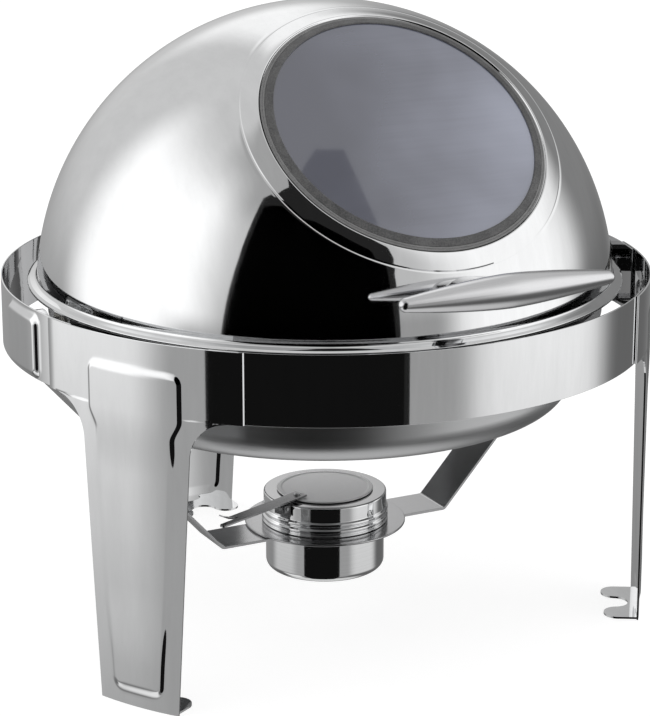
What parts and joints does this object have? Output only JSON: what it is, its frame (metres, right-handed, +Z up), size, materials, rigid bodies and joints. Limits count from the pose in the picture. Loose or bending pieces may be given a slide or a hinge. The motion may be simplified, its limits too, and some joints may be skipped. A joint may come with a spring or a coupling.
{
  "type": "roll top chafer",
  "caption": "Round mirror-polished chafer with a domed lid that rolls back, a round window, a water pan and a fuel holder on a legged stand.",
  "frame": {"origin": "on the floor, under the centre of the object's box; the ring's axis is 13.8 mm behind it", "axes": "+Z up, the handle side faces -Y, the lid's pivot axis runs along X"},
  "size_m": [0.4664, 0.4968, 0.4445],
  "materials": {
    "mirror_steel": "mirror-polished stainless steel",
    "satin_steel": "satin stainless steel",
    "pan_steel": "spun satin stainless steel",
    "handle_steel": "soft-polished steel",
    "gasket_silicone": "dark grey silicone",
    "window_glass": "tempered glass with a grey tint",
    "bush_nylon": "natural nylon"
  },
  "bodies": {
    "frame": {"leg_front_left": "mirror_steel", "leg_front_right": "mirror_steel", "leg_back": "mirror_steel", "ring_strip_front": "mirror_steel", "ring_strip_left": "mirror_steel", "ring_strip_right": "mirror_steel", "pivot_bracket_left": "satin_steel", "pivot_bracket_right": "satin_steel", "pivot_pin_left": "satin_steel", "pivot_pin_right": "satin_steel", "pivot_circlip_left": "satin_steel", "pivot_circlip_right": "satin_steel", "water_pan": "pan_steel", "pan_support_side_right": "satin_steel", "pan_support_front_right": "satin_steel", "pan_support_front_left": "satin_steel", "pan_support_side_left": "satin_steel", "burner_arm_left": "mirror_steel", "burner_arm_right": "mirror_steel", "burner_plate": "mirror_steel"},
    "lid": {"lid_shell": "mirror_steel", "window_gasket": "gasket_silicone", "window_glass": "window_glass", "window_retainer": "satin_steel", "lid_handle": "handle_steel", "handle_stem": "handle_steel", "handle_backing_plate": "satin_steel", "handle_screw_left": "satin_steel", "handle_screw_right": "satin_steel", "lid_ear_left": "satin_steel", "lid_ear_right": "satin_steel", "pivot_bush_left": "bush_nylon", "pivot_bush_right": "bush_nylon"},
    "food_pan": {"food_pan": "pan_steel"},
    "fuel_holder": {"fuel_cup": "mirror_steel", "fuel_cup_collar": "mirror_steel", "snuffer_hinge": "satin_steel", "snuffer_hinge_pin": "satin_steel"},
    "snuffer": {"snuffer_lever": "satin_steel", "snuffer_disc": "satin_steel", "snuffer_rivet": "satin_steel"}
  },
  "joints": [
    {"name": "lid_roll", "type": "hinge", "parent": "frame", "child": "lid", "pos_m": [0, 0.0138, 0.2393], "axis": [-1, 0, 0], "range_deg": [0, 78]},
    {"name": "food_pan_lift", "type": "slide", "parent": "frame", "child": "food_pan", "axis": [0, 0, 1], "range_m": [0, 0.02]},
    {"name": "fuel_holder_lift", "type": "slide", "parent": "frame", "child": "fuel_holder", "axis": [0, 0, 1], "range_m": [0, 0.008]},
    {"name": "snuffer_flip", "type": "hinge", "parent": "fuel_holder", "child": "snuffer", "pos_m": [-0.04602, -0.00442, 0.0855], "axis": [0.3681, -0.9298, 0], "range_deg": [0, 50]}
  ]
}
